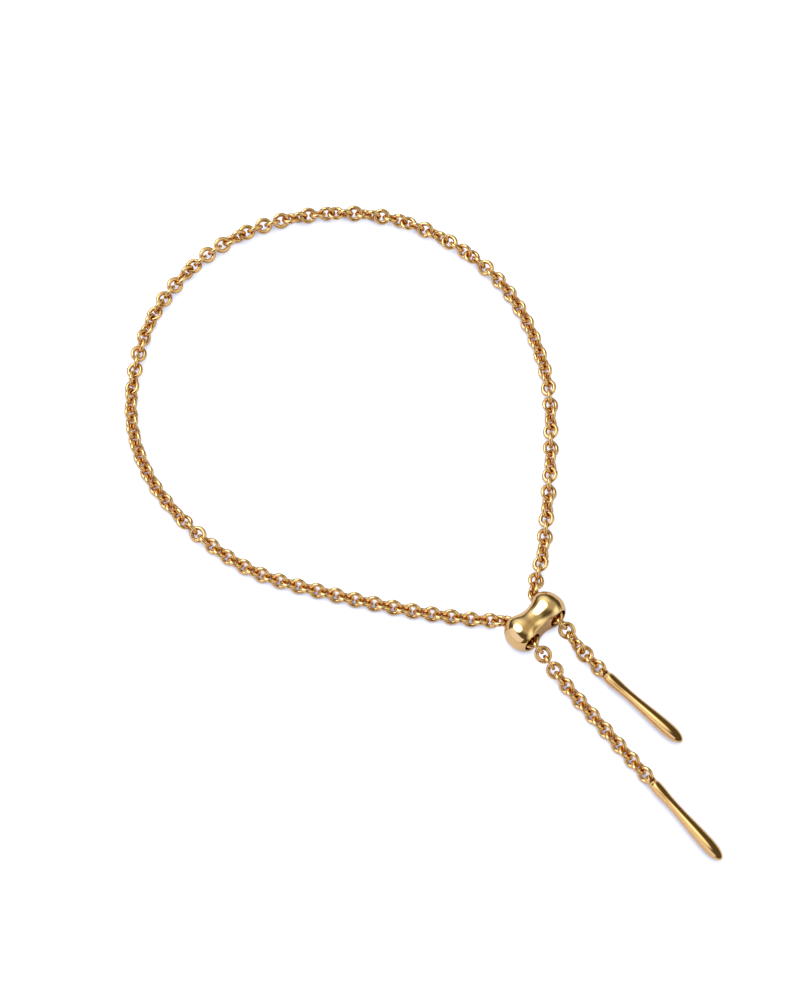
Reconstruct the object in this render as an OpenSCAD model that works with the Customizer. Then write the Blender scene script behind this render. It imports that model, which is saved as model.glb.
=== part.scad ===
// A fine chain bracelet with a sliding bead, laid out flat on a surface.
// One chain runs from the drop on the short tail, through the bead, round the wrist loop,
// back through the bead and on to the drop on the long tail.
// X runs along the bead, Y along its holes and away from the tails, Z up from the surface.

/* [Chain] */
// Outer diameter of one round link
link_od = 2.6; // [2.5:0.02:2.64]
// Diameter of the wire that a link is bent from
wire_d = 0.5; // [0.46:0.02:0.52]
// Clear gap between the wires of two links that hold each other
link_gap = 0.155; // [0.12:0.005:0.18]

/* [Sliding bead] */
// Distance between the middles of the two holes
hole_spacing = 5.3; // [5.2:0.1:5.4]
// Diameter of each hole
hole_d = 3; // [3:0.05:3.1]
// Diameter of each hole's flared mouth
mouth_d = 3.15; // [3.15:0.05:3.3]
// Diameter of the two round lobes, which is the bead's height
lobe_d = 5; // [4.9:0.1:5.1]
// Height of the waist between the lobes
waist_h = 4.1; // [3.8:0.1:4.4]
// Depth of the bead at its lobes, from face to face
bead_depth = 4.5; // [4.4:0.1:4.7]
// Depth of the bead at its waist, from face to face
waist_depth = 3.6; // [3.4:0.1:4.2]
// Share of a lobe's radius by which the outline draws in from the bead's middle to its faces
crown = 0.28; // [0.22:0.01:0.29]
// Share of the depth that the faces lose at the bead's two ends
end_round = 0.15; // [0.05:0.01:0.2]
// How far the bead leans back, so that its face towards the tails looks up
bead_lean = 10; // [8:1:12]

/* [Drops] */
// Length of a drop from the outside of its eye to its tip
drop_len = 16; // [14.5:0.1:17]
// Diameter of a drop at its thickest, near the tip
belly_d = 2.05; // [1.9:0.05:2.1]
// Diameter of a drop at its thinnest, below the eye
neck_d = 1.45; // [1.2:0.05:1.5]
// Diameter of a drop at the shoulder where its eye begins
shoulder_d = 1.75; // [1.55:0.05:1.8]
// Thickness of the eye's rim
eye_wire_d = 0.4; // [0.36:0.02:0.42]
// Clear width inside the eye
eye_bore = 0.8; // [0.78:0.02:0.86]

/* [Layout] */
// Where the middle of the bead lies along X
bead_x = -5; // [-15:0.5:5]
// Where the middle of the bead lies along Y
bead_y = -18; // [-25:0.5:-10]
// How far the short tail's drop swings towards X from straight out
near_swing = 2.5; // [0:0.5:4]
// How far the long tail's drop swings towards X from straight out
far_swing = -4.5; // [-7:0.5:-3]

/* [Hidden] */
gold = "goldenrod";
round_fn = 48;

// Radius of a link's wire circle, and the farthest that two links' middles can be apart
ring_r = (link_od - wire_d) / 2;
pitch_max = link_od - 2 * wire_d - link_gap;
// Clear height kept under the lowest links
rest_gap = 0.03;
// Height of the chain's middle where its links lean at 45 degrees, and where they turn upright
lean_z = ring_r * sin(45) + wire_d / 2 + rest_gap;
turn_z = ring_r + wire_d / 2 + rest_gap;

// The bead's outline, seen along its holes, as rows of [x, height, way out along x, way out in height]:
// a lobe round each hole and a smooth waist, from end to end over the top
lobe_r = lobe_d / 2;
hole_x = hole_spacing / 2;
lobe_steps = 8;
waist_steps = 16;
function ease(t) = (1 - cos(180 * t)) / 2;
function blend(a, b, t) = a + (b - a) * ease(t);
function waist_top(x) = blend(waist_h / 2, lobe_r, abs(x) / hole_x);
function waist_row(x) =
    let (rise = 90 * (lobe_r - waist_h / 2) / hole_x * sin(180 * x / hole_x) * PI / 180)
    [x, waist_top(x), -rise / norm([rise, 1]), 1 / norm([rise, 1])];
function lobe_row(side, a) =
    [side * (hole_x + lobe_r * cos(a)), lobe_r * sin(a), side * cos(a), sin(a)];
half_outline = concat(
    [for (k = [0:lobe_steps]) lobe_row(-1, 90 * k / lobe_steps)],
    [for (k = [1:waist_steps - 1]) waist_row(hole_x * (2 * k / waist_steps - 1))],
    [for (k = [lobe_steps:-1:0]) lobe_row(1, 90 * k / lobe_steps)]
);

// The body is lofted from face to face through that outline, drawn in more and more towards the
// faces, with its middle at the origin
crown_steps = 12;
crown_power = 2.4;
function past_hole(x) = max(0, abs(x) - hole_x) / lobe_r;
function half_depth(x) =
    blend(waist_depth, bead_depth, min(abs(x) / hole_x, 1)) / 2
    * (1 - end_round * past_hole(x) * past_hole(x));
function drawn_in(row, v, side) =
    let (inset = crown * lobe_r * pow(abs(v), crown_power), x = row[0] - inset * row[2])
    [x, v * half_depth(x), side * (row[1] - inset * row[3])];
over = len(half_outline) - 1;
body_points = [
    for (j = [0:crown_steps])
        let (v = 2 * j / crown_steps - 1)
        each concat([for (k = [0:over]) drawn_in(half_outline[k], v, 1)],
                    [for (k = [over - 1:-1:1]) drawn_in(half_outline[k], v, -1)])
];

// Height of the bead's middle, where its leaning body just rests on the surface
bead_z = -min([for (p = body_points) p[2] * cos(bead_lean) - p[1] * sin(bead_lean)]);
// Height of the chain's middle where it lies in a hole, at y from the bead's middle
function bore_z(y) = bead_z - y * tan(bead_lean) - 0.05;

// The chain's route, measured from the middle of the bead on the surface
route = [
    [1.95, -11.2, lean_z], [2, -9.5, 1.1], [2.03, -7.8, 1.3], [2.15, -6.3, 1.6], [2.3, -4.9, 2.1],
    [2.45, -3.6, 2.6], [2.55, -2.4, bore_z(-2.4)], [2.65, -1, bore_z(-1)], [2.65, 0.8, bore_z(0.8)],
    [2.68, 2, bore_z(2)], [3, 3.05, 2], [3.8, 3.95, 1.7], [5.1, 4.75, 1.42], [6.5, 5.6, turn_z],
    [9, 7.25, turn_z], [13, 10.5, turn_z], [22, 18.5, turn_z], [30, 27.5, turn_z],
    [35.5, 39.5, lean_z], [36, 50.5, turn_z], [32.5, 62, turn_z], [25, 71, turn_z],
    [14.5, 77, turn_z], [3, 78.5, turn_z], [-8.5, 75.5, turn_z], [-19, 67.5, turn_z],
    [-24.5, 58, lean_z], [-26, 46.5, turn_z], [-24, 35, lean_z], [-18, 24, lean_z],
    [-11.5, 14.2, lean_z], [-6.5, 7.6, lean_z], [-4.8, 5.5, 1.2], [-3.8, 4.3, 1.6],
    [-3, 3.15, 2], [-2.66, 2, bore_z(2)], [-2.65, 0.8, bore_z(0.8)], [-2.65, -1, bore_z(-1)],
    [-2.65, -2.4, bore_z(-2.4)], [-2.7, -3.7, 2.65], [-2.8, -5, 2.15], [-2.9, -6.4, 1.6],
    [-3.15, -8, 1.3], [-3.5, -11, lean_z], [-4, -17, lean_z], [-4.5, -23, lean_z],
    [-4.8, -27.2, lean_z]
];
// Twist of the chain beyond a quarter turn a link, in rows of distance along the route and degrees
twist_rows = [
    [0, 0], [1.5, 8], [7, 120], [17, 65], [49, -340], [53, -360], [69, -360], [73, -335], [84, -160],
    [91, -70], [95, 15], [102, 105], [107, 195], [112, 205], [117, 290], [121, 290], [127, 385],
    [130, 395], [140, 480], [148, 540], [167, 540], [176, 630], [219, 630]
];
// Steps of the smooth curve between two route points
route_steps = 16;

function spline(a, b, c, d, t) =
    (2 * b + (c - a) * t + (2 * a - 5 * b + 4 * c - d) * t * t
     + (3 * b - a - 3 * c + d) * t * t * t) / 2;
last = len(route) - 1;
curve = concat(
    [for (i = [0:last - 1]) for (k = [0:route_steps - 1])
        spline(route[max(i - 1, 0)], route[i], route[i + 1], route[min(i + 2, last)],
               k / route_steps)],
    [route[last]]
);
bits = [for (i = [1:len(curve) - 1]) norm(curve[i] - curve[i - 1])];
along = [for (i = 0, s = 0; i <= len(bits); s = s + (i < len(bits) ? bits[i] : 0), i = i + 1) s];
route_len = along[len(bits)];
tables = [for (axis = [0:2]) [for (i = [0:len(bits)]) [along[i], curve[i][axis]]]];
function at(s) = [for (axis = [0:2]) lookup(s, tables[axis])];

// Links stand at equal steps along the route, each a quarter turn and its twist past the last
links = ceil(route_len / pitch_max) + 1;
pitch = route_len / (links - 1);
end_twist = 720 + 90 * (links % 2);
twist = concat(
    twist_rows,
    [[228, end_twist - 30], [232, end_twist - 30], [235, end_twist], [route_len, end_twist]]
);
function ahead(s) = at(min(s + pitch / 2, route_len)) - at(max(s - pitch / 2, 0));
function heading(v) = atan2(v[1], v[0]);
function slope(v) = atan2(v[2], norm([v[0], v[1]]));
function roll(i) = -45 + 90 * i + lookup(i * pitch, twist);

module link() {
    rotate_extrude($fn = round_fn)
        translate([ring_r, 0])
            circle(d = wire_d, $fn = round_fn);
}

module chain() {
    color(gold)
        translate([bead_x, bead_y])
            for (i = [0:links - 1])
                translate(at(i * pitch))
                    rotate([roll(i), -slope(ahead(i * pitch)), heading(ahead(i * pitch))])
                        link();
}

module bead_body() {
    around = 2 * over;
    skin = [
        for (j = [0:crown_steps - 1]) for (k = [0:around - 1])
            let (a = j * around + k, b = j * around + (k + 1) % around)
            each [[a, b + around, b], [a, a + around, b + around]]
    ];
    faces = [
        for (k = [0:over - 1])
            let (strip = [k, k + 1, around - k - 1, (around - k) % around], far = crown_steps * around)
            each [strip, [for (n = [3:-1:0]) strip[n] + far]]
    ];
    polyhedron(body_points, concat(skin, faces));
}

module bore() {
    flare = (mouth_d - hole_d) / 2;
    rotate([90, 0, 0]) {
        cylinder(d = hole_d, h = bead_depth + 2, center = true, $fn = round_fn);
        for (side = [0, 1])
            mirror([0, 0, side])
                translate([0, 0, bead_depth / 2 - flare])
                    cylinder(d1 = hole_d, d2 = hole_d + 4 * flare, h = 2 * flare, $fn = round_fn);
    }
}

module slider() {
    color(gold)
        translate([bead_x, bead_y, bead_z])
            rotate([-bead_lean, 0, 0])
                difference() {
                    bead_body();
                    translate([-hole_x, 0, 0])
                        bore();
                    translate([hole_x, 0, 0])
                        bore();
                }
}

// A drop is turned along its own axis, from the eye's middle outwards, and ends in its belly
eye_r = (eye_bore + eye_wire_d) / 2;
eye_reach = ring_r + eye_r - (wire_d + eye_wire_d) / 2 - link_gap;
eye_roll = -45;
root_at = eye_r;
shoulder_at = 1.2;
neck_at = 3;
belly_at = 12.6;
tip_at = drop_len - eye_r - eye_wire_d / 2;
outline_steps = 8;
function swell(r0, r1, x0, x1) = [
    for (k = [1:outline_steps])
        [blend(r0, r1, k / outline_steps), x0 + (x1 - x0) * k / outline_steps]
];
function quarter(r, x0, x1) = [
    for (k = [0:outline_steps])
        [r * sin(90 * k / outline_steps), x0 + (x1 - x0) * (1 - cos(90 * k / outline_steps))]
];

module drop() {
    rotate([eye_roll, 0, 0])
        rotate_extrude($fn = round_fn)
            translate([eye_r, 0])
                circle(d = eye_wire_d, $fn = round_fn);
    rotate([0, 90, 0])
        rotate_extrude($fn = round_fn)
            polygon(concat(
                quarter(shoulder_d / 2, root_at, shoulder_at),
                swell(shoulder_d / 2, neck_d / 2, shoulder_at, neck_at),
                swell(neck_d / 2, belly_d / 2, neck_at, belly_at),
                [for (k = [outline_steps - 1:-1:0]) quarter(belly_d / 2, tip_at, belly_at)[k]]
            ));
}

// A drop hangs on the link at s along the route, and swings about its eye
module hung_drop(s, outward, swing) {
    eye_at = at(s) + outward * eye_reach * ahead(s) / norm(ahead(s));
    color(gold)
        translate([bead_x + eye_at[0], bead_y + eye_at[1], belly_d / 2])
            rotate([0, 0, swing - 90])
                drop();
}

module drop_near() {
    hung_drop(0, -1, near_swing);
}

module drop_far() {
    hung_drop(route_len, 1, far_swing);
}

slider();
chain();
drop_near();
drop_far();
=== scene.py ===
"""Chain slider bracelet in polished yellow gold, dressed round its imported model."""
import math

import bmesh
import bpy
from bpy.props import FloatProperty, FloatVectorProperty, IntProperty, PointerProperty
from mathutils import Euler, Matrix, Vector


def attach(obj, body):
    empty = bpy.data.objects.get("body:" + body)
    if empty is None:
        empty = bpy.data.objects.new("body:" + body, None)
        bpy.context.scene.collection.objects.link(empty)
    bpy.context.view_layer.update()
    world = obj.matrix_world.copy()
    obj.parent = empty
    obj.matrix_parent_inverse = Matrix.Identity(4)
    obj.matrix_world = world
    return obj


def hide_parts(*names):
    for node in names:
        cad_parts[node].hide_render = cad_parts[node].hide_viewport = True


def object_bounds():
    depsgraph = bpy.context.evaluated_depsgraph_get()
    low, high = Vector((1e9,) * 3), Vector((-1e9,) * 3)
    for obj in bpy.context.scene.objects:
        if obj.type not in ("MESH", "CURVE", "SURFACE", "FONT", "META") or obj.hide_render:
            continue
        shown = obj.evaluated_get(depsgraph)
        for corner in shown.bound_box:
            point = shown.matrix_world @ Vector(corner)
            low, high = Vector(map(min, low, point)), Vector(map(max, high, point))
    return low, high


bl_info = {
    "name": "Chain Slider Bracelet",
    "version": (1, 0, 0),
    "blender": (4, 5, 0),
    "location": "3D View > Sidebar > Bracelet",
    "description": "Builds a fine gold chain bracelet with a two-hole sliding bead and two drops",
    "category": "Add Mesh",
}

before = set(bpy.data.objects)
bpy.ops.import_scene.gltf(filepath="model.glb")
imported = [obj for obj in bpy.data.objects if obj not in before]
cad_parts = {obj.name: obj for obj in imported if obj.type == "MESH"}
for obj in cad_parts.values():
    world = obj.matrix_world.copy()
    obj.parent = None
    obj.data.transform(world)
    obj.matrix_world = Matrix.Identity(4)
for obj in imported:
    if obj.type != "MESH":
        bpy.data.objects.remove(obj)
CAD_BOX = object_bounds()
MM = 0.001

# The bead's middle on the surface, in the row frame, in millimetres
BEAD_AT = Vector((-5, -18, 0))
BEAD_LEAN = math.radians(10)


# Sizes and colours that a user would change

class ChainSizes(bpy.types.PropertyGroup):
    link_width: FloatProperty(
        name="Link Width", description="Outer width of one link across the chain",
        default=2.56 * MM, unit="LENGTH")
    link_stretch: FloatProperty(
        name="Link Stretch", description="How much longer than wide a pulled link's wire runs",
        default=1.1, min=1, max=1.3)
    wire_diameter: FloatProperty(
        name="Wire Diameter", description="Thickness of the wire that a link is bent from",
        default=0.66 * MM, unit="LENGTH")
    link_gap: FloatProperty(
        name="Link Spacing", description="Longest distance between the middles of two links",
        default=1.445 * MM, unit="LENGTH")
    steps_round_link: IntProperty(
        name="Steps Round a Link", description="Faces along the wire of one link",
        default=16, min=10, max=16)
    steps_round_wire: IntProperty(
        name="Steps Round the Wire", description="Faces across the wire of one link",
        default=6, min=5, max=6)


class BeadSizes(bpy.types.PropertyGroup):
    hole_spacing: FloatProperty(
        name="Hole Spacing", description="Distance between the middles of the two holes",
        default=5.3 * MM, unit="LENGTH")
    hole_diameter: FloatProperty(
        name="Hole Diameter", description="Diameter of each hole",
        default=2.9 * MM, unit="LENGTH")
    mouth_diameter: FloatProperty(
        name="Mouth Diameter", description="Diameter of each hole where it opens on a face",
        default=3.04 * MM, unit="LENGTH")
    lobe_diameter: FloatProperty(
        name="Lobe Diameter", description="Diameter of the two round lobes, the bead's height",
        default=5 * MM, unit="LENGTH")
    waist_height: FloatProperty(
        name="Waist Height", description="Height of the waist between the lobes",
        default=4.1 * MM, unit="LENGTH")
    depth: FloatProperty(
        name="Depth", description="Depth of the lobes from face to face",
        default=4.5 * MM, unit="LENGTH")
    waist_depth: FloatProperty(
        name="Waist Depth", description="Depth of the waist from face to face",
        default=3.6 * MM, unit="LENGTH")
    crown: FloatProperty(
        name="Crown", description="Share of a lobe's radius that the outline draws in at the faces",
        default=0.28, subtype="FACTOR")
    end_round: FloatProperty(
        name="End Rounding", description="Share of the depth that is lost at the two ends",
        default=0.15, subtype="FACTOR")
    lean: FloatProperty(
        name="Lean", description="How far the bead leans back, so that its front face looks up",
        default=BEAD_LEAN, unit="ROTATION")
    rim_round: FloatProperty(
        name="Rim Rounding", description="Width of the rounded edges of faces and mouths",
        default=0.09 * MM, unit="LENGTH")


class DropSizes(bpy.types.PropertyGroup):
    length: FloatProperty(
        name="Drop Length", description="Length of a drop from the outside of its eye to its tip",
        default=16 * MM, unit="LENGTH")
    belly_diameter: FloatProperty(
        name="Belly Diameter", description="Diameter of a drop at its thickest",
        default=2.05 * MM, unit="LENGTH")
    neck_diameter: FloatProperty(
        name="Neck Diameter", description="Diameter of a drop at its thinnest",
        default=1.45 * MM, unit="LENGTH")
    shoulder_diameter: FloatProperty(
        name="Shoulder Diameter", description="Diameter of a drop where its eye begins",
        default=1.75 * MM, unit="LENGTH")
    eye_rim: FloatProperty(
        name="Eye Rim", description="Thickness of the eye's rim",
        default=0.48 * MM, unit="LENGTH")
    eye_breadth: FloatProperty(
        name="Eye Breadth", description="How far the eye reaches along its hole",
        default=1.05 * MM, unit="LENGTH")
    eye_radius: FloatProperty(
        name="Eye Radius", description="Radius of the middle of the eye's rim",
        default=0.6 * MM, unit="LENGTH")
    near_swing: FloatProperty(
        name="Short Tail Swing", description="How far the short tail's drop swings round its eye",
        default=math.radians(2.5), unit="ROTATION")
    far_swing: FloatProperty(
        name="Long Tail Swing", description="How far the long tail's drop swings round its eye",
        default=math.radians(-4.5), unit="ROTATION")


class GoldFinish(bpy.types.PropertyGroup):
    # Painted reflection: chain and drops get a deeper, more orange copy of the bead's gold, standing in
    # for light bounced between the links
    gold: FloatVectorProperty(
        name="Gold", description="Colour of the polished gold of chain and drops", subtype="COLOR",
        default=(0.91, 0.62, 0.26))
    bead_gold: FloatVectorProperty(
        name="Bead Gold", description="Colour of the polished gold of the bead", subtype="COLOR",
        default=(0.92, 0.68, 0.33))
    deep_gold: FloatVectorProperty(
        name="Deep Gold", description="Colour of the gold where the polish is thinner",
        subtype="COLOR", default=(0.88, 0.59, 0.24))
    # Painted shade: the darker, more orange colour painted on the gold in gaps and holes, where shade
    # falls and light bounces between parts
    painted_recess_shade: FloatVectorProperty(
        name="Recess", description="Colour of the gold in recesses that polish doesn't reach",
        subtype="COLOR", default=(0.6, 0.23, 0.02))
    roughness: FloatProperty(
        name="Roughness", description="Roughness of the polished surface",
        default=0.09, subtype="FACTOR")
    scratch_depth: FloatProperty(
        name="Polishing Marks", description="Depth of the fine marks left by polishing",
        default=0.0012 * MM, unit="LENGTH")


class StudioSettings(bpy.types.PropertyGroup):
    floor: FloatVectorProperty(
        name="Floor", description="Colour of the floor", subtype="COLOR",
        default=(0.82, 0.78, 0.86))
    floor_size: FloatProperty(
        name="Floor Size", description="Width of the square floor", default=6, unit="LENGTH")
    room: FloatVectorProperty(
        name="Room", description="Light of the dim room round the set", subtype="COLOR",
        default=(0.1, 0.08, 0.05))
    azimuth: FloatProperty(
        name="Camera Azimuth", description="How far the camera stands round from looking along +Y",
        default=math.radians(-44), unit="ROTATION")
    elevation: FloatProperty(
        name="Camera Elevation", description="Height of the camera above the horizon",
        default=math.radians(67), unit="ROTATION")
    distance: FloatProperty(
        name="Camera Distance", description="Distance from the camera to what it looks at",
        default=407.1 * MM, unit="LENGTH")
    lens: FloatProperty(
        name="Lens", description="Focal length of the camera", default=97.7, unit="CAMERA")


GROUPS = {
    "bracelet_chain": ChainSizes,
    "bracelet_bead": BeadSizes,
    "bracelet_drops": DropSizes,
    "bracelet_gold": GoldFinish,
    "bracelet_studio": StudioSettings,
}


# Node trees

# The places of a colour Mix node's two inputs and of its result
MIX_FIRST, MIX_SECOND, MIX_RESULT = 6, 7, 2


class Signal:
    """An output socket of a node. Sums, differences and products with it add Math nodes."""

    def __init__(self, adder, node, socket):
        self.adder = adder
        self.node = node
        self.socket = socket

    def at(self, name):
        return Signal(self.adder, self.node, self.node.outputs[name])

    def _math(self, operation, first, second):
        return self.adder.add("ShaderNodeMath", {"operation": operation}, {0: first, 1: second})

    def __add__(self, other):
        return self._math("ADD", self, other)

    def __sub__(self, other):
        return self._math("SUBTRACT", self, other)

    def __mul__(self, other):
        return self._math("MULTIPLY", self, other)

    def __radd__(self, other):
        return self._math("ADD", other, self)

    def __rsub__(self, other):
        return self._math("SUBTRACT", other, self)

    def __rmul__(self, other):
        return self._math("MULTIPLY", other, self)


class NodeAdder:
    """Adds nodes to one tree and joins them."""

    def __init__(self, tree):
        self.tree = tree

    def add(self, kind, settings=None, sockets=None):
        node = self.tree.nodes.new(kind)
        for name, value in (settings or {}).items():
            if name == "stops":
                self._set_stops(node.color_ramp.elements, value)
            else:
                setattr(node, name, value)
        for key, value in (sockets or {}).items():
            if isinstance(value, Signal):
                self.tree.links.new(value.socket, node.inputs[key])
            else:
                node.inputs[key].default_value = value
        first = next((s for s in node.outputs if s.enabled), None)
        return Signal(self, node, first)

    @staticmethod
    def _set_stops(elements, stops):
        while len(elements) < len(stops):
            elements.new(1)
        for element, (position, level) in zip(elements, stops):
            element.position = position
            element.color = (level, level, level, 1)


def new_object(name, mesh):
    piece = bpy.data.objects.new(name, mesh)
    bpy.context.scene.collection.objects.link(piece)
    return piece


def smooth(mesh):
    mesh.polygons.foreach_set("use_smooth", [True] * len(mesh.polygons))
    mesh.update()


def finish_piece(piece, slot, *nodes):
    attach(piece, "root")
    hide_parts(*nodes)


# The finish

def polished_gold(name, gold, wave_size, wave_depth, softness, open_share):
    """Polished gold with tone changes, polishing marks and waves, and painted shade: a darker, more
    orange gold where less than open_share of the view from a point is open, standing in for shade and
    light bounced between the gold parts."""
    finish = bpy.context.scene.bracelet_gold
    material = bpy.data.materials.get(name) or bpy.data.materials.new(name)
    material.use_nodes = True
    tree = material.node_tree
    tree.nodes.clear()
    adder = NodeAdder(tree)
    place = adder.add("ShaderNodeTexCoord").at("Object")

    tone = adder.add("ShaderNodeTexNoise", None, {"Vector": place, "Scale": 700, "Detail": 3})
    tone_mask = adder.add("ShaderNodeValToRGB", {"stops": [(0.35, 0), (0.7, 1)]}, {0: tone})
    body = adder.add(
        "ShaderNodeMix", {"data_type": "RGBA"},
        {0: tone_mask, MIX_FIRST: (*gold, 1), MIX_SECOND: (*finish.deep_gold, 1)}).at(MIX_RESULT)
    # Painted shade: the gold turns darker and more orange where little of the view from a point is open,
    # in the gaps between links and in the bead's holes
    open_sky = adder.add(
        "ShaderNodeAmbientOcclusion", {"samples": 8}, {"Distance": 1.1 * MM}).at("AO")
    painted_shade_mask = adder.add(
        "ShaderNodeValToRGB", {"stops": [(0.12, 1), (open_share, 0)]}, {0: open_sky})
    colour = adder.add(
        "ShaderNodeMix", {"data_type": "RGBA"},
        {0: painted_shade_mask * 0.95, MIX_FIRST: body, MIX_SECOND: (*finish.painted_recess_shade, 1)}).at(MIX_RESULT)

    haze = adder.add("ShaderNodeTexNoise", None, {"Vector": place, "Scale": 1600, "Detail": 4})
    roughness = finish.roughness + softness + (haze - 0.5) * 0.08 + painted_shade_mask * 0.1

    stretched = adder.add(
        "ShaderNodeMapping", None, {"Vector": place, "Rotation": (0.3, 0.5, 0.8), "Scale": (1, 14, 3)})
    marks = adder.add(
        "ShaderNodeTexNoise", None, {"Vector": stretched, "Scale": 1500, "Detail": 6, "Roughness": 0.7})
    fine = adder.add(
        "ShaderNodeBump", None,
        {"Strength": 1, "Distance": finish.scratch_depth, "Height": marks})
    waves = adder.add(
        "ShaderNodeTexNoise", None, {"Vector": place, "Scale": 1 / wave_size, "Detail": 1})
    surface = adder.add(
        "ShaderNodeBump", None,
        {"Strength": 1, "Distance": wave_depth, "Height": waves, "Normal": fine})

    shader = adder.add(
        "ShaderNodeBsdfPrincipled", None,
        {"Base Color": colour, "Roughness": roughness, "Metallic": 1.0, "Normal": surface})
    adder.add("ShaderNodeOutputMaterial", None, {"Surface": shader})
    return material


# The chain's route, measured from the middle of the bead, in millimetres. The heights allow for the
# links of the CAD model.

WIRE_CAD = 0.5
RING_R = (2.6 - WIRE_CAD) / 2
REST_GAP = 0.03
LEAN_Z = RING_R * math.sin(math.radians(45)) + WIRE_CAD / 2 + REST_GAP
TURN_Z = RING_R + WIRE_CAD / 2 + REST_GAP
BEAD_Z = 2.543


def bore_z(y):
    """Height of the chain's middle where it lies in a hole of the leaning bead."""
    return BEAD_Z - y * math.tan(BEAD_LEAN) - 0.05


ROUTE = [Vector(point) for point in [
    (1.95, -11.2, LEAN_Z), (2, -9.5, 1.1), (2.03, -7.8, 1.3), (2.15, -6.3, 1.6), (2.3, -4.9, 2.1),
    (2.45, -3.6, 2.6), (2.55, -2.4, bore_z(-2.4)), (2.65, -1, bore_z(-1)), (2.65, 0.8, bore_z(0.8)),
    (2.68, 2, bore_z(2)), (3, 3.05, 2), (3.8, 3.95, 1.7), (5.1, 4.75, 1.42), (6.5, 5.6, TURN_Z),
    (9, 7.25, TURN_Z), (13, 10.5, TURN_Z), (22, 18.5, TURN_Z), (30, 27.5, TURN_Z),
    (35.5, 39.5, LEAN_Z), (36, 50.5, TURN_Z), (32.5, 62, TURN_Z), (25, 71, TURN_Z),
    (14.5, 77, TURN_Z), (3, 78.5, TURN_Z), (-8.5, 75.5, TURN_Z), (-19, 67.5, TURN_Z),
    (-24.5, 58, LEAN_Z), (-26, 46.5, TURN_Z), (-24, 35, LEAN_Z), (-18, 24, LEAN_Z),
    (-11.5, 14.2, LEAN_Z), (-6.5, 7.6, LEAN_Z), (-4.8, 5.5, 1.2), (-3.8, 4.3, 1.6),
    (-3, 3.15, 2), (-2.66, 2, bore_z(2)), (-2.65, 0.8, bore_z(0.8)), (-2.65, -1, bore_z(-1)),
    (-2.65, -2.4, bore_z(-2.4)), (-2.7, -3.7, 2.65), (-2.8, -5, 2.15), (-2.9, -6.4, 1.6),
    (-3.15, -8, 1.3), (-3.5, -11, LEAN_Z), (-4, -17, LEAN_Z), (-4.5, -23, LEAN_Z),
    (-4.8, -27.2, LEAN_Z),
]]
# Twist of the chain beyond a quarter turn a link: distance along the route in millimetres, degrees
TWIST = [
    (0, 0), (1.5, 8), (7, 120), (17, 65), (49, -340), (53, -360), (69, -360), (73, -335),
    (84, -160), (91, -70), (95, 15), (102, 105), (107, 195), (112, 205), (117, 290), (121, 290),
    (127, 385), (130, 395), (140, 480), (148, 540), (167, 540), (176, 630), (219, 630),
]
ROUTE_STEPS = 16


def between(rows, s):
    """The value at s in rows of (distance, value), in straight steps and held at both ends."""
    if s <= rows[0][0]:
        return rows[0][1]
    for (s0, v0), (s1, v1) in zip(rows, rows[1:]):
        if s <= s1:
            return v0 + (v1 - v0) * (s - s0) / (s1 - s0)
    return rows[-1][1]


def smooth_bit(a, b, c, d, t):
    return (2 * b + (c - a) * t + (2 * a - 5 * b + 4 * c - d) * t * t
            + (3 * b - a - 3 * c + d) * t * t * t) / 2


class Route:
    """The smooth line of the chain's middle, and where each link stands on it."""

    def __init__(self, longest_pitch):
        end = len(ROUTE) - 1
        points = [
            smooth_bit(ROUTE[max(i - 1, 0)], ROUTE[i], ROUTE[i + 1], ROUTE[min(i + 2, end)],
                       k / ROUTE_STEPS)
            for i in range(end) for k in range(ROUTE_STEPS)]
        points.append(ROUTE[end])
        self.rows = [(0, points[0])]
        for before, point in zip(points, points[1:]):
            self.rows.append((self.rows[-1][0] + (point - before).length, point))
        self.length = self.rows[-1][0]
        self.links = math.ceil(self.length / longest_pitch) + 1
        self.pitch = self.length / (self.links - 1)
        turned = 720 + 90 * (self.links % 2)
        self.twist = TWIST + [
            (228, turned - 30), (232, turned - 30), (235, turned), (self.length, turned)]

    def at(self, s):
        return between(self.rows, s)

    def ahead(self, s):
        return (self.at(min(s + self.pitch / 2, self.length))
                - self.at(max(s - self.pitch / 2, 0)))

    def turn(self, index):
        """How the link stands: its roll about the chain, the chain's slope and its heading."""
        s = index * self.pitch
        way = self.ahead(s)
        roll = math.radians(-45 + 90 * index + between(self.twist, s))
        return Euler((roll, -math.atan2(way.z, math.hypot(way.x, way.y)),
                      math.atan2(way.y, way.x)))


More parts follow.
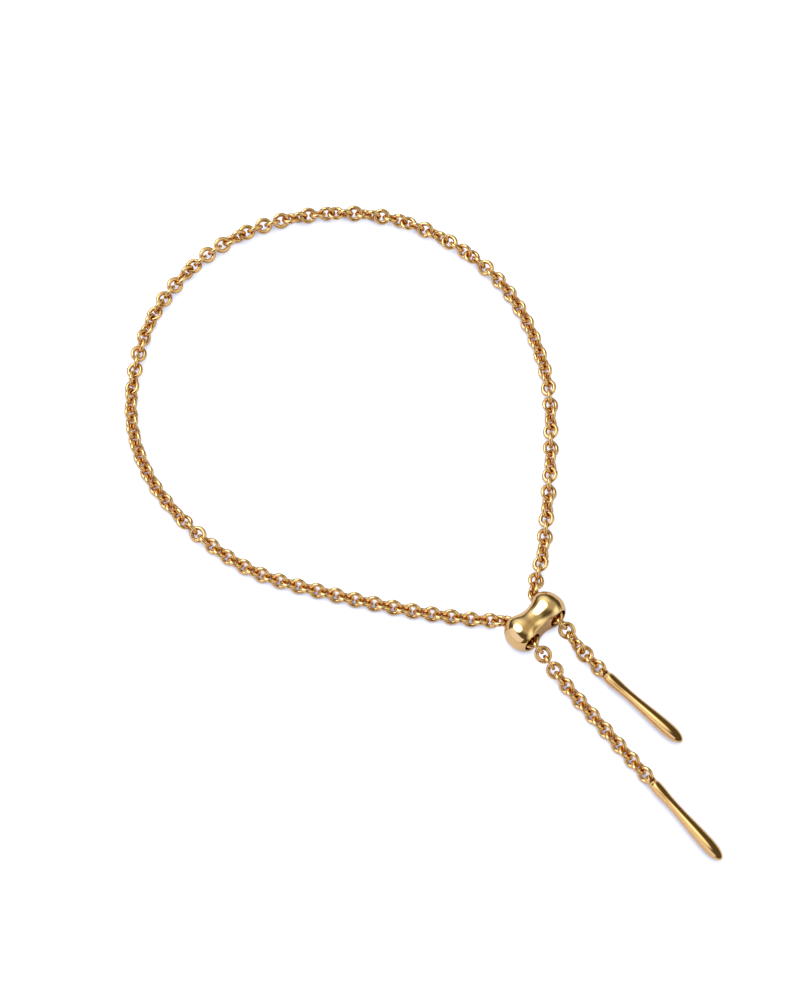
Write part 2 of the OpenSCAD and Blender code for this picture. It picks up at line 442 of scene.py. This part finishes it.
def link_tree():
    """Geometry Nodes that set one round link on every point, turned as the point's turn says."""
    tree = bpy.data.node_groups.new("Chain Links", "GeometryNodeTree")
    for name, kind in [("Points", "NodeSocketGeometry"), ("Link Width", "NodeSocketFloat"),
                       ("Link Stretch", "NodeSocketFloat"), ("Wire Diameter", "NodeSocketFloat"),
                       ("Steps Round a Link", "NodeSocketInt"),
                       ("Steps Round the Wire", "NodeSocketInt"), ("Material", "NodeSocketMaterial")]:
        tree.interface.new_socket(name, in_out="INPUT", socket_type=kind)
    tree.interface.new_socket("Links", in_out="OUTPUT", socket_type="NodeSocketGeometry")
    adder = NodeAdder(tree)
    given = adder.add("NodeGroupInput")
    wire = given.at("Wire Diameter")
    middle = (given.at("Link Width") - wire) * 0.5
    ring = adder.add(
        "GeometryNodeCurvePrimitiveCircle", {"mode": "RADIUS"},
        {"Resolution": given.at("Steps Round a Link"), "Radius": middle})
    stretch = adder.add(
        "ShaderNodeCombineXYZ", None, {"X": given.at("Link Stretch"), "Y": 1.0, "Z": 1.0})
    oval = adder.add("GeometryNodeTransform", None, {"Geometry": ring, "Scale": stretch})
    section = adder.add(
        "GeometryNodeCurvePrimitiveCircle", {"mode": "RADIUS"},
        {"Resolution": given.at("Steps Round the Wire"), "Radius": wire * 0.5})
    link = adder.add("GeometryNodeCurveToMesh", None, {"Curve": oval, "Profile Curve": section})
    turn = adder.add("GeometryNodeInputNamedAttribute", {"data_type": "FLOAT_VECTOR"}, {"Name": "turn"})
    rotation = adder.add("FunctionNodeEulerToRotation", None, {0: turn})
    placed = adder.add(
        "GeometryNodeInstanceOnPoints", None,
        {"Points": given.at("Points"), "Instance": link, "Rotation": rotation})
    real = adder.add("GeometryNodeRealizeInstances", None, {"Geometry": placed})
    shaded = adder.add("GeometryNodeSetShadeSmooth", None, {"Geometry": real})
    gilded = adder.add(
        "GeometryNodeSetMaterial", None, {"Geometry": shaded, "Material": given.at("Material")})
    adder.add("NodeGroupOutput", None, {"Links": gilded})
    return tree


class BRACELET_OT_chain(bpy.types.Operator):
    """Set the round links of the chain along its route"""
    bl_idname = "bracelet.chain"
    bl_label = "Build Chain"

    def execute(self, context):
        sizes = context.scene.bracelet_chain
        route = Route(sizes.link_gap / MM)
        points = bpy.data.meshes.new("link_points")
        points.from_pydata(
            [(BEAD_AT + route.at(i * route.pitch)) * MM for i in range(route.links)], [], [])
        turns = points.attributes.new("turn", "FLOAT_VECTOR", "POINT")
        for i, row in enumerate(turns.data):
            row.vector = route.turn(i)
        holder = new_object("link_points", points)
        tree = link_tree()
        modifier = holder.modifiers.new("Links", "NODES")
        modifier.node_group = tree
        values = {
            "Link Width": sizes.link_width,
            "Link Stretch": sizes.link_stretch,
            "Wire Diameter": sizes.wire_diameter,
            "Steps Round a Link": sizes.steps_round_link,
            "Steps Round the Wire": sizes.steps_round_wire,
            "Material": polished_gold(
                "chain gold", context.scene.bracelet_gold.gold, 0.9 * MM, 0.003 * MM, 0.04, 0.9),
        }
        for item in tree.interface.items_tree:
            if item.name in values:
                modifier[item.identifier] = values[item.name]
        graph = context.evaluated_depsgraph_get()
        mesh = bpy.data.meshes.new_from_object(holder.evaluated_get(graph))
        bpy.data.objects.remove(holder)
        if len(mesh.polygons) == 0:
            raise RuntimeError("the chain has no links")
        chain = new_object("chain_links", mesh)
        finish_piece(chain, "chain", "chain")
        return {"FINISHED"}


# The sliding bead

def ease(t):
    return (1 - math.cos(math.pi * t)) / 2


def blend(a, b, t):
    return a + (b - a) * ease(t)


class BeadForm:
    """The bead's outline seen along its holes, and how it draws in towards its faces."""

    lobe_steps = 20
    waist_steps = 14
    skin_steps = 20
    face_steps = 4
    bore_steps = 6
    crown_power = 2.4

    def __init__(self, sizes):
        self.hole_x = sizes.hole_spacing / 2
        self.lobe_r = sizes.lobe_diameter / 2
        self.waist = sizes.waist_height / 2
        self.depths = (sizes.waist_depth / 2, sizes.depth / 2)
        self.crown = sizes.crown
        self.end_round = sizes.end_round
        self.lean = Matrix.Rotation(-sizes.lean, 4, "X")
        self.hole_r = sizes.hole_diameter / 2
        self.mouth_r = sizes.mouth_diameter / 2

    def half_depth(self, x):
        past = max(0, abs(x) - self.hole_x) / self.lobe_r
        return (blend(*self.depths, min(abs(x) / self.hole_x, 1))
                * (1 - self.end_round * past * past))

    def waist_row(self, x):
        top = blend(self.waist, self.lobe_r, x / self.hole_x)
        rise = (math.pi / 2 * (self.lobe_r - self.waist) / self.hole_x
                * math.sin(math.pi * x / self.hole_x))
        return Vector((x, top)), Vector((-rise, 1)).normalized()

    def outline(self):
        """Rows of place and way out, from the waist's underside round one lobe to its top."""
        waist = [self.waist_row(self.hole_x * k / self.waist_steps) for k in range(self.waist_steps)]
        arc = [math.pi * (k / (2 * self.lobe_steps) - 0.5) for k in range(2 * self.lobe_steps + 1)]
        hole = Vector((self.hole_x, 0))
        ways = [Vector((math.cos(a), math.sin(a))) for a in arc]
        under = [(Vector((p.x, -p.y)), Vector((n.x, -n.y))) for p, n in waist]
        return under + [(hole + w * self.lobe_r, w) for w in ways] + waist[::-1]

    def skin_point(self, row, v):
        """A point of the outer skin, v from -1 at the front face to 1 at the back face."""
        place, way = row
        spot = place - way * (self.crown * self.lobe_r * abs(v) ** self.crown_power)
        return (spot.x, v * self.half_depth(place.x), spot.y)

    def face_rim(self):
        """The face's edge round one lobe, closed along the bead's middle, as places in the face."""
        rim = [place - way * (self.crown * self.lobe_r) for place, way in self.outline()]
        top = rim[-1].y
        steps = self.waist_steps
        return rim + [Vector((0, top * (1 - 2 * k / steps))) for k in range(1, steps)]


def add_patch(mesh, rows, close=False):
    """Adds a grid of faces through rows of points; close joins its last column to its first."""
    grid = [[mesh.verts.new(point) for point in row] for row in rows]
    for low, high in zip(grid, grid[1:]):
        count = len(low)
        for k in range(count if close else count - 1):
            n = (k + 1) % count
            mesh.faces.new((low[k], low[n], high[n], high[k]))


def add_half_bead(mesh, form, side):
    outline = form.outline()
    skin = [[form.skin_point(row, 2 * j / form.skin_steps - 1) for row in outline]
            for j in range(form.skin_steps + 1)]
    rim = form.face_rim()
    hole = Vector((form.hole_x, 0))
    ways = [(spot - hole).normalized() for spot in rim]
    flare = form.mouth_r - form.hole_r
    patches = [(skin, False)]
    for face in (-1, 1):
        face_rows = []
        for j in range(form.face_steps + 1):
            t = j / form.face_steps
            spots = [spot.lerp(hole + way * form.mouth_r, t) for spot, way in zip(rim, ways)]
            depths = [form.half_depth(outline[k][0].x) if k < len(outline) else form.half_depth(0)
                      for k in range(len(rim))]
            face_rows.append([
                (spot.x, face * (depths[k] * (1 - t) + form.half_depth(spot.x) * t), spot.y)
                for k, spot in enumerate(spots)])
        mouth = [hole + way * form.mouth_r for way in ways]
        bore_rows = [[(spot.x, face * form.half_depth(spot.x), spot.y) for spot in mouth]]
        mouth_depth = form.depths[1] - 2 * flare
        for j in range(form.bore_steps + 1):
            y = face * mouth_depth * (1 - j / form.bore_steps)
            bore_rows.append([
                (hole.x + way.x * form.hole_r, y, way.y * form.hole_r) for way in ways])
        patches += [(face_rows, True), (bore_rows, True)]
    for rows, close in patches:
        add_patch(mesh, [[Vector((side * x, y, z)) for x, y, z in row] for row in rows], close)


class BRACELET_OT_bead(bpy.types.Operator):
    """Build the sliding bead with its two holes"""
    bl_idname = "bracelet.bead"
    bl_label = "Build Sliding Bead"

    def execute(self, context):
        sizes = context.scene.bracelet_bead
        form = BeadForm(sizes)
        shape = bmesh.new()
        for side in (-1, 1):
            add_half_bead(shape, form, side)
        bmesh.ops.remove_doubles(shape, verts=shape.verts, dist=0.001 * MM)
        bmesh.ops.recalc_face_normals(shape, faces=shape.faces)
        open_edges = [edge for edge in shape.edges if not edge.is_manifold]
        if open_edges:
            raise RuntimeError(f"the bead has {len(open_edges)} open edges")
        bmesh.ops.transform(shape, matrix=form.lean, verts=shape.verts)
        lowest = min(vert.co.z for vert in shape.verts)
        bmesh.ops.translate(
            shape, vec=BEAD_AT * MM - Vector((0, 0, lowest)), verts=shape.verts)
        mesh = bpy.data.meshes.new("sliding_bead")
        shape.to_mesh(mesh)
        shape.free()
        smooth(mesh)
        bead = new_object("sliding_bead", mesh)
        rims = bead.modifiers.new("Rims", "BEVEL")
        rims.width = sizes.rim_round
        rims.segments = 3
        rims.limit_method = "ANGLE"
        rims.angle_limit = math.radians(28)
        gold = context.scene.bracelet_gold.bead_gold
        mesh.materials.append(polished_gold("bead gold", gold, 2.2 * MM, 0.006 * MM, 0, 0.6))
        finish_piece(bead, "slider", "slider")
        return {"FINISHED"}


# The drops, with the places of shoulder, neck and belly measured from the middle of the eye

SHOULDER_AT = 1.3 * MM
NECK_AT = 4.6 * MM
BELLY_AT = 12.6 * MM
# How far the middle of the eye's rim lies inside the middle of the end link's wire
EYE_OVERLAP = 0.605 * MM
# Where a drop's cage leaves its eye, and its width there as a share of the shoulder's
HEAD_AT = 0.9 * MM
HEAD_SHARE = 0.93
# The tip's rings, as angles round its curve, and the power that makes the curve blunter than round
TIP_ANGLES = (22, 42, 60, 75)
TIP_POWER = 0.9
DROP_SIDES = 16
# The smoothed skin lies inside a ring of so many points by this share
GROW = 3 / (2 + math.cos(math.tau / DROP_SIDES))


def add_drop(shape, sizes):
    """Adds a drop's cage along X from its eye's middle: 16 points a ring, open where they meet."""
    rim = sizes.eye_rim / 2
    middle = sizes.eye_radius
    tip = sizes.length - middle - rim
    around = DROP_SIDES
    across = 8

    def eye_point(u, v):
        reach = middle + rim * math.cos(v)
        return Vector((reach * math.cos(u), reach * math.sin(u), sizes.eye_breadth / 2 * math.sin(v)))

    eye = [[shape.verts.new(eye_point(math.tau * i / around, math.tau * k / across))
            for k in range(across)] for i in range(around)]
    in_stem = {(i % around, k % across) for i in range(-2, 2) for k in range(-2, 2)}
    for i in range(around):
        for k in range(across):
            if (i, k) not in in_stem:
                ni, nk = (i + 1) % around, (k + 1) % across
                shape.faces.new((eye[i][k], eye[ni][k], eye[ni][nk], eye[i][nk]))
    loop = ([eye[2 - n][2] for n in range(4)] + [eye[-2][2 - n] for n in range(4)]
            + [eye[n - 2][-2] for n in range(4)] + [eye[2][n - 2] for n in range(4)])

    half = sizes.shoulder_diameter / 2 * GROW
    neck = sizes.neck_diameter / 2 * GROW
    belly = sizes.belly_diameter / 2 * GROW
    sections = [(HEAD_AT, HEAD_SHARE * half), (SHOULDER_AT, half)]
    for t in (0.35, 0.65, 1):
        sections.append((SHOULDER_AT + (NECK_AT - SHOULDER_AT) * t, blend(half, neck, t)))
    for t in (0.2, 0.4, 0.6, 0.8, 1):
        sections.append((NECK_AT + (BELLY_AT - NECK_AT) * t, blend(neck, belly, t)))
    cap = tip - BELLY_AT
    for angle in map(math.radians, TIP_ANGLES):
        sections.append((BELLY_AT + cap * math.sin(angle), belly * math.cos(angle) ** TIP_POWER))
    ring = loop
    for x, r in sections:
        step = [shape.verts.new((x, r * math.sin(a), r * math.cos(a)))
                for a in (math.radians(45 - 22.5 * n) for n in range(around))]
        for n in range(around):
            m = (n + 1) % around
            shape.faces.new((ring[n], ring[m], step[m], step[n]))
        ring = step
    last_x, last_r = sections[-1][0], sections[-1][1]
    grid = {}
    for n, vert in enumerate(ring):
        side, along = divmod(n, 4)
        grid[[(4 - along, 4), (0, 4 - along), (along, 0), (4, along)][side]] = vert
    for a in (1, 2, 3):
        for b in (1, 2, 3):
            y, z = (a - 2) * 0.36 * last_r, (b - 2) * 0.36 * last_r
            bulge = (tip - last_x) * (1 - 0.5 * (y * y + z * z) / (last_r * last_r))
            grid[a, b] = shape.verts.new((last_x + bulge, y, z))
    for a in range(4):
        for b in range(4):
            shape.faces.new((grid[a, b], grid[a + 1, b], grid[a + 1, b + 1], grid[a, b + 1]))


def build_drop(name, node, sizes, route, s, outward, swing):
    """Hangs a drop on the link at s along the route and gives it its finish."""
    reach = RING_R * MM + sizes.eye_radius - EYE_OVERLAP
    eye_at = (BEAD_AT + route.at(s)) * MM + route.ahead(s).normalized() * outward * reach
    eye_at.z = sizes.belly_diameter / 2 * GROW
    shape = bmesh.new()
    add_drop(shape, sizes)
    bmesh.ops.recalc_face_normals(shape, faces=shape.faces)
    place = (Matrix.Translation(eye_at) @ Matrix.Rotation(swing - math.pi / 2, 4, "Z")
             @ Matrix.Rotation(math.radians(-45), 4, "X"))
    bmesh.ops.transform(shape, matrix=place, verts=shape.verts)
    open_edges = [edge for edge in shape.edges if not edge.is_manifold]
    if open_edges:
        raise RuntimeError(f"{name} has {len(open_edges)} open edges")
    mesh = bpy.data.meshes.new(name)
    shape.to_mesh(mesh)
    shape.free()
    smooth(mesh)
    drop = new_object(name, mesh)
    skin = drop.modifiers.new("Skin", "SUBSURF")
    skin.levels = skin.render_levels = 3
    gold = bpy.context.scene.bracelet_gold.gold
    mesh.materials.append(polished_gold("drop gold", gold, 1.8 * MM, 0.004 * MM, 0.05, 0.6))
    finish_piece(drop, "drops", node)


class BRACELET_OT_drops(bpy.types.Operator):
    """Build the two drops and hang them on the chain's end links"""
    bl_idname = "bracelet.drops"
    bl_label = "Build Drops"

    def execute(self, context):
        sizes = context.scene.bracelet_drops
        route = Route(context.scene.bracelet_chain.link_gap / MM)
        build_drop("near_drop", "drop_near", sizes, route, 0, -1, sizes.near_swing)
        build_drop("far_drop", "drop_far", sizes, route, route.length, 1, sizes.far_swing)
        drops = [bpy.data.objects[name] for name in ("near_drop", "far_drop")]
        aim_lamps(("key_softbox", "fill_softbox", "front_softbox", "overhead_softbox"), drops, "EXCLUDE")
        aim_lamps(("drop_softbox",), drops, "INCLUDE")
        return {"FINISHED"}


# The studio

# What the floor gives off to the camera: an even glow in the open, and a darker, bluer painted shadow in
# small gaps
OPEN_GLOW = (0.87, 0.9, 1, 1)
PAINTED_SHADOW_GLOW = (0.3, 0.31, 0.42, 1)
GLOW_STRENGTH = 1.05
CAMERA_LOOKS_AT = Vector((-5.07, 10.37, 0)) * MM
# Lamps: name, azimuth and angle from the zenith in degrees as the camera sees them, with azimuth 0
# to the camera's right and 90 away from it, distance, width and height in metres, brightness in
# the middle, share of the half width that has it, colour
LAMPS = [
    ("key_softbox", 150, 36, 0.9, 0.92, 0.78, 3.5, 0.45, (0.88, 0.94, 1)),
    ("back_softbox", 112, 56, 0.9, 1.3, 1.1, 0.75, 0.1, (1, 1, 1)),
    ("fill_softbox", 335, 38, 0.9, 2.1, 0.9, 0.8, 0.1, (1, 1, 1)),
    ("front_softbox", 340, 70, 0.9, 2.2, 0.7, 0.6, 0.3, (1, 0.96, 0.75)),
    ("overhead_softbox", 60, 24, 0.9, 2.2, 1.7, 0.32, 0.3, (1, 0.93, 0.72)),
    ("bounce_card", 210, 67, 0.9, 1.5, 0.72, 0.78, 1, (0.84, 0.8, 1)),
    ("drop_softbox", 165, 26, 0.9, 1.4, 1, 1.8, 0.05, (1, 0.92, 0.84)),
]


def pale_floor(colour):
    """A matt floor. To the camera it glows bright enough that shadows show only near what lies on it,
    with a painted shadow, darker and bluer, where little of the view from a point is open.
    """
    material = bpy.data.materials.new("matt floor")
    material.use_nodes = True
    material.node_tree.nodes.clear()
    adder = NodeAdder(material.node_tree)
    place = adder.add("ShaderNodeTexCoord").at("Object")
    grain = adder.add("ShaderNodeTexNoise", None, {"Vector": place, "Scale": 900, "Detail": 2})
    surface = adder.add(
        "ShaderNodeBump", None, {"Strength": 0.2, "Distance": 0.02 * MM, "Height": grain})
    matt = adder.add("ShaderNodeBsdfDiffuse", None, {"Color": (*colour, 1), "Normal": surface})
    haze = adder.add("ShaderNodeEmission", None, {"Color": (*colour, 1), "Strength": 0.1})
    reflected = adder.add("ShaderNodeAddShader", None, {0: matt, 1: haze})
    bright = adder.add(
        "ShaderNodeBsdfDiffuse", None, {"Color": (0.3, 0.3, 0.3, 1), "Normal": surface})
    # Painted shadow: the floor's glow turns darker and bluer where little of the view from a point is
    # open, next to and under the chain, bead and drops
    open_sky = adder.add(
        "ShaderNodeAmbientOcclusion", {"samples": 8}, {"Distance": 1.3 * MM}).at("AO")
    painted_shadow_mask = adder.add("ShaderNodeValToRGB", {"stops": [(0.35, 1), (0.82, 0)]}, {0: open_sky})
    light = adder.add(
        "ShaderNodeMix", {"data_type": "RGBA"},
        {0: painted_shadow_mask, MIX_FIRST: OPEN_GLOW, MIX_SECOND: PAINTED_SHADOW_GLOW}).at(MIX_RESULT)
    glow = adder.add("ShaderNodeEmission", None, {"Color": light, "Strength": GLOW_STRENGTH})
    shown = adder.add("ShaderNodeAddShader", None, {0: bright, 1: glow})
    seen = adder.add("ShaderNodeLightPath").at("Is Camera Ray")
    shader = adder.add("ShaderNodeMixShader", None, {0: seen, 1: reflected, 2: shown})
    adder.add("ShaderNodeOutputMaterial", None, {"Surface": shader})
    return material


def add_lamp(name, azimuth, polar, distance, width, height, strength, core, colour, camera_azimuth):
    """Adds a soft box that faces the middle of the floor and fades from its core to its rim."""
    a = math.radians(azimuth)
    p = math.radians(polar)
    way = Vector((math.sin(p) * math.cos(a), math.sin(p) * math.sin(a), math.cos(p)))
    way = Matrix.Rotation(camera_azimuth, 3, "Z") @ way
    light = bpy.data.lights.new(name, "AREA")
    light.shape = "RECTANGLE"
    light.size = width
    light.size_y = height
    light.energy = 4 * width * height
    light.color = colour
    light.use_nodes = True
    light.node_tree.nodes.clear()
    adder = NodeAdder(light.node_tree)
    level = strength
    if core < 1:
        spot = adder.add("ShaderNodeNewGeometry").at("Parametric")
        reach = adder.add(
            "ShaderNodeVectorMath", {"operation": "DISTANCE"},
            {0: spot, 1: (0.5, 0.5, 0)}).at("Value")
        level = adder.add(
            "ShaderNodeMapRange", {"interpolation_type": "SMOOTHSTEP"},
            {"Value": reach, "From Min": core / 2, "From Max": 0.5, "To Min": strength,
             "To Max": 0.0})
    shine = adder.add("ShaderNodeEmission", None, {"Strength": level})
    adder.add("ShaderNodeOutputLight", None, {"Surface": shine})
    lamp = new_object(name, light)
    lamp.visible_camera = False
    lamp.location = way * distance
    lamp.rotation_euler = way.to_track_quat("Z", "Y").to_euler()


def aim_lamps(lamp_names, pieces, state):
    """Shades the pieces from the named lamps (EXCLUDE), or lets them light nothing else (INCLUDE)."""
    chosen = bpy.data.collections.new("lit apart")
    for piece in pieces:
        chosen.objects.link(piece)
    for entry in chosen.collection_objects:
        entry.light_linking.link_state = state
    for name in lamp_names:
        bpy.data.objects[name].light_linking.receiver_collection = chosen


class BRACELET_OT_studio(bpy.types.Operator):
    """Set up the pale floor, the soft lamps and the camera"""
    bl_idname = "bracelet.studio"
    bl_label = "Set Up Studio"

    def execute(self, context):
        settings = context.scene.bracelet_studio
        half = settings.floor_size / 2
        mesh = bpy.data.meshes.new("studio_floor")
        z = min(CAD_BOX[0].z, 0)
        mesh.from_pydata(
            [(-half, -half, z), (half, -half, z), (half, half, z), (-half, half, z)], [],
            [(0, 1, 2, 3)])
        mesh.materials.append(pale_floor(settings.floor))
        new_object("studio_floor", mesh)

        for lamp in LAMPS:
            add_lamp(*lamp, settings.azimuth)
        world = bpy.data.worlds.new("dim room")
        world.use_nodes = True
        world.node_tree.nodes["Background"].inputs["Color"].default_value = (*settings.room, 1)
        context.scene.world = world
        context.scene.view_settings.view_transform = "Standard"

        camera = bpy.data.cameras.new("camera")
        camera.lens = settings.lens
        camera.sensor_fit = "AUTO"
        camera.sensor_width = 36
        camera.clip_start = 0.01
        eye = new_object("camera", camera)
        a, e = settings.azimuth, settings.elevation
        back = Vector((math.sin(a) * math.cos(e), -math.cos(a) * math.cos(e), math.sin(e)))
        eye.location = CAMERA_LOOKS_AT + back * settings.distance
        eye.rotation_euler = back.to_track_quat("Z", "Y").to_euler()
        context.scene.camera = eye
        return {"FINISHED"}


class BRACELET_PT_panel(bpy.types.Panel):
    """Lists the steps that build the bracelet, and their sizes"""
    bl_idname = "BRACELET_PT_panel"
    bl_label = "Chain Slider Bracelet"
    bl_space_type = "VIEW_3D"
    bl_region_type = "UI"
    bl_category = "Bracelet"

    def draw(self, context):
        for step in STEPS:
            self.layout.operator(step.bl_idname)
        for name, group in GROUPS.items():
            box = self.layout.box()
            settings = getattr(context.scene, name)
            for prop in group.__annotations__:
                box.prop(settings, prop)


STEPS = (BRACELET_OT_studio, BRACELET_OT_chain, BRACELET_OT_bead, BRACELET_OT_drops)


def register():
    for kind in (*GROUPS.values(), *STEPS, BRACELET_PT_panel):
        bpy.utils.register_class(kind)
    for name, group in GROUPS.items():
        setattr(bpy.types.Scene, name, PointerProperty(type=group))


def unregister():
    for name in GROUPS:
        delattr(bpy.types.Scene, name)
    for kind in reversed((*GROUPS.values(), *STEPS, BRACELET_PT_panel)):
        bpy.utils.unregister_class(kind)


def main():
    register()
    bpy.ops.bracelet.studio()
    bpy.ops.bracelet.chain()
    bpy.ops.bracelet.bead()
    bpy.ops.bracelet.drops()


if __name__ == "__main__":
    main()
